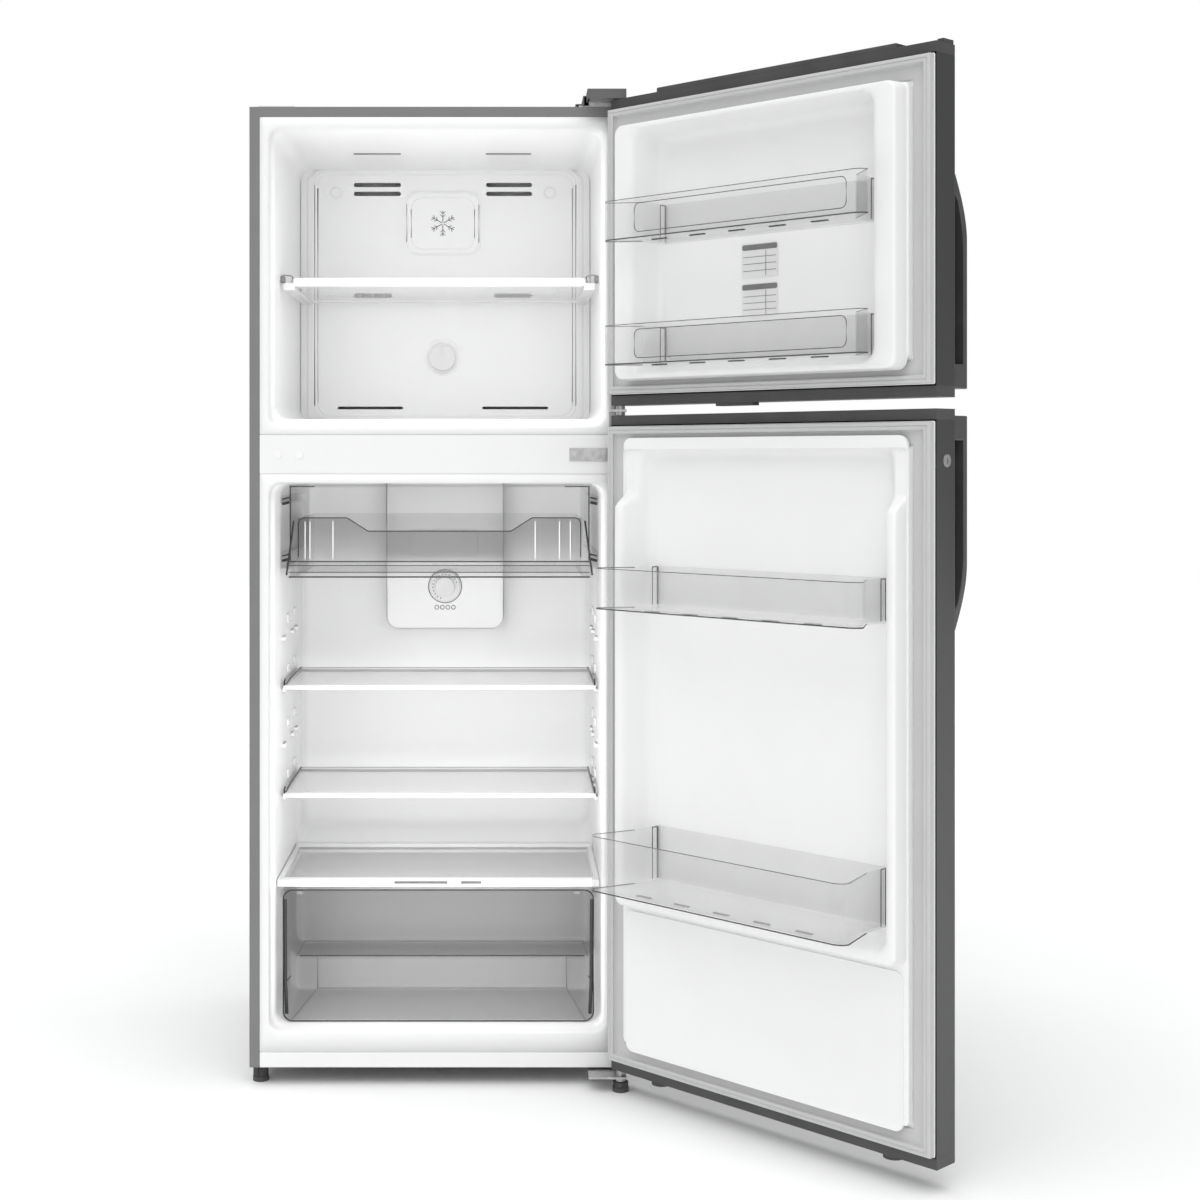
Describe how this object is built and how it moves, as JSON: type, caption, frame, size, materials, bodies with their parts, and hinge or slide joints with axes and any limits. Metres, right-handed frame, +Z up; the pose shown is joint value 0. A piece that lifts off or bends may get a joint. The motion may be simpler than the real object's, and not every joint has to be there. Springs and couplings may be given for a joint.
{
  "type": "top freezer refrigerator",
  "caption": "Top freezer refrigerator with its doors standing open, glass shelves, door bins, a chiller drawer and a crisper drawer.",
  "frame": {"origin": "bottom centre of the whole refrigerator as it stands with both doors open, on the floor", "axes": "+Z up; +Y from the cabinet's front towards its back; +X to the right, seen from the front"},
  "size_m": [1.0484, 1.0303, 1.583],
  "materials": {
    "cabinet_steel": "satin grey paint",
    "rear_sheet": "galvanised and lacquered",
    "base_steel": "zinc coated",
    "foam": "closed-cell foam",
    "freezer_liner": "smooth white",
    "fridge_liner": "smooth white",
    "mullion_steel": "white paint",
    "white_caps": "white",
    "plinth_plastic": "light grey",
    "evaporator_cover": "white",
    "coil_aluminium": "bare",
    "heater_tube": "fired",
    "motor_plastic": "dark",
    "fan_plastic": "light grey",
    "dial_plastic": "white",
    "flap_plastic": "light grey",
    "shelf_glass": "clear toughened",
    "shelf_trim": "white",
    "duct_cover": "white",
    "lens_plastic": "translucent white",
    "clear_plastic": "smoky clear plastic",
    "bin_plastic": "clear plastic",
    "compressor_steel": "black enamel",
    "mount_rubber": "matte black",
    "copper_tube": "bare copper",
    "pan_plastic": "dark grey",
    "cover_board": "dark grey",
    "gland_rubber": "matte black",
    "hinge_steel": "zinc plated",
    "hinge_cover": "dark grey",
    "screw_steel": "zinc plated",
    "foot_plastic": "dark grey",
    "roller_plastic": "black",
    "door_steel": "dark silver, fine brushed print",
    "door_liner": "smooth white",
    "gasket_rubber": "light grey",
    "handle_plastic": "dark silver",
    "door_caps": "dark grey",
    "lock_steel": "bright"
  },
  "bodies": {
    "cabinet": {"cabinet_shell": "cabinet_steel", "back_panel": "rear_sheet", "base_pan": "base_steel", "cabinet_foam": "foam", "freezer_liner": "freezer_liner", "fridge_liner": "fridge_liner", "mullion_cover": "mullion_steel", "blanking_caps": "white_caps", "plinth": "plinth_plastic", "evaporator_cover": "evaporator_cover", "evaporator_coil": "coil_aluminium", "defrost_heater": "heater_tube", "fan_motor": "motor_plastic", "freezer_shelf_glass": "shelf_glass", "freezer_shelf_trim": "shelf_trim", "duct_cover": "duct_cover", "lamp_lens": "lens_plastic", "chiller_hood": "clear_plastic", "fridge_shelf_glasses": "shelf_glass", "fridge_shelf_trims": "shelf_trim", "crisper_cover_frame": "shelf_trim", "crisper_cover_glass": "shelf_glass", "compressor": "compressor_steel", "compressor_mounts": "mount_rubber", "condenser_loop": "copper_tube", "drain_pan": "pan_plastic", "compressor_cover": "cover_board", "cord_gland": "gland_rubber", "top_hinge": "hinge_steel", "hinge_cover": "hinge_cover", "middle_hinge": "hinge_steel", "bottom_hinge": "hinge_steel", "hinge_screws": "screw_steel"},
    "freezer_door": {"freezer_door_panel": "door_steel", "freezer_door_foam": "foam", "freezer_door_liner": "door_liner", "freezer_door_gasket": "gasket_rubber", "freezer_door_handle": "handle_plastic", "freezer_door_caps": "door_caps", "freezer_door_bins": "bin_plastic"},
    "fridge_door": {"lock_case": "door_caps", "fridge_door_panel": "door_steel", "fridge_door_foam": "foam", "fridge_door_liner": "door_liner", "fridge_door_gasket": "gasket_rubber", "fridge_door_handle": "handle_plastic", "fridge_door_caps": "door_caps", "fridge_door_bins": "bin_plastic"},
    "fan_blade": {"fan_blade": "fan_plastic"},
    "freezer_dial": {"freezer_dial": "dial_plastic"},
    "damper_flap": {"damper_flap": "flap_plastic"},
    "thermostat_dial": {"thermostat_dial": "dial_plastic"},
    "chiller_drawer": {"chiller_drawer": "clear_plastic"},
    "humidity_slider": {"humidity_slider": "dial_plastic"},
    "crisper_drawer": {"crisper_drawer": "clear_plastic"},
    "front_left_foot": {"front_left_foot": "foot_plastic"},
    "front_right_foot": {"front_right_foot": "foot_plastic"},
    "rear_left_roller": {"rear_left_roller": "roller_plastic"},
    "rear_right_roller": {"rear_right_roller": "roller_plastic"},
    "lock_barrel": {"lock_barrel": "lock_steel"}
  },
  "joints": [
    {"name": "freezer_door_hinge", "type": "hinge", "parent": "cabinet", "child": "freezer_door", "pos_m": [0.06683, -0.0498, 1.076], "axis": [0, 0, 1], "range_deg": [-134, 0]},
    {"name": "fridge_door_hinge", "type": "hinge", "parent": "cabinet", "child": "fridge_door", "pos_m": [0.06683, -0.0498, 1.076], "axis": [0, 0, 1], "range_deg": [-134, 0]},
    {"name": "crisper_slide", "type": "slide", "parent": "cabinet", "child": "crisper_drawer", "axis": [0, -1, 0], "range_m": [0, 0.24]},
    {"name": "chiller_slide", "type": "slide", "parent": "cabinet", "child": "chiller_drawer", "axis": [0, -1, 0], "range_m": [0, 0.2]},
    {"name": "humidity_slide", "type": "slide", "parent": "cabinet", "child": "humidity_slider", "axis": [1, 0, 0], "range_m": [-0.08, 0.03]},
    {"name": "thermostat_turn", "type": "hinge", "parent": "cabinet", "child": "thermostat_dial", "pos_m": [-0.22417, 0.3742, 0.77], "axis": [0, 1, 0], "range_deg": [-135, 135]},
    {"name": "freezer_dial_turn", "type": "hinge", "parent": "cabinet", "child": "freezer_dial", "pos_m": [-0.22867, 0.3772, 1.182], "axis": [0, 1, 0], "range_deg": [0, 270]},
    {"name": "damper_flap_swing", "type": "hinge", "parent": "cabinet", "child": "damper_flap", "pos_m": [-0.22867, 0.4072, 1.12], "axis": [1, 0, 0], "range_deg": [0, 67.5]},
    {"name": "fan_spin", "type": "hinge", "parent": "cabinet", "child": "fan_blade", "pos_m": [-0.22817, 0.4032, 1.425], "axis": [0, 1, 0], "continuous": true},
    {"name": "lock_turn", "type": "hinge", "parent": "fridge_door", "child": "lock_barrel", "pos_m": [0.48672, -0.4659, 0.997], "axis": [-0.6947, 0.7193, 0], "range_deg": [0, 90]},
    {"name": "front_left_foot_turn", "type": "hinge", "parent": "cabinet", "child": "front_left_foot", "pos_m": [-0.50917, 0.0042, 0.01], "axis": [0, 0, 1], "continuous": true},
    {"name": "front_right_foot_turn", "type": "hinge", "parent": "cabinet", "child": "front_right_foot", "pos_m": [0.06683, -0.0498, 0.01], "axis": [0, 0, 1], "continuous": true},
    {"name": "rear_left_roller_spin", "type": "hinge", "parent": "cabinet", "child": "rear_left_roller", "pos_m": [-0.47417, 0.4772, 0.0125], "axis": [1, 0, 0], "continuous": true},
    {"name": "rear_right_roller_spin", "type": "hinge", "parent": "cabinet", "child": "rear_right_roller", "pos_m": [0.02583, 0.4772, 0.0125], "axis": [1, 0, 0], "continuous": true}
  ],
  "couplings": [
    {"joint": "damper_flap_swing", "follows": "freezer_dial_turn", "ratio": 0.25}
  ]
}
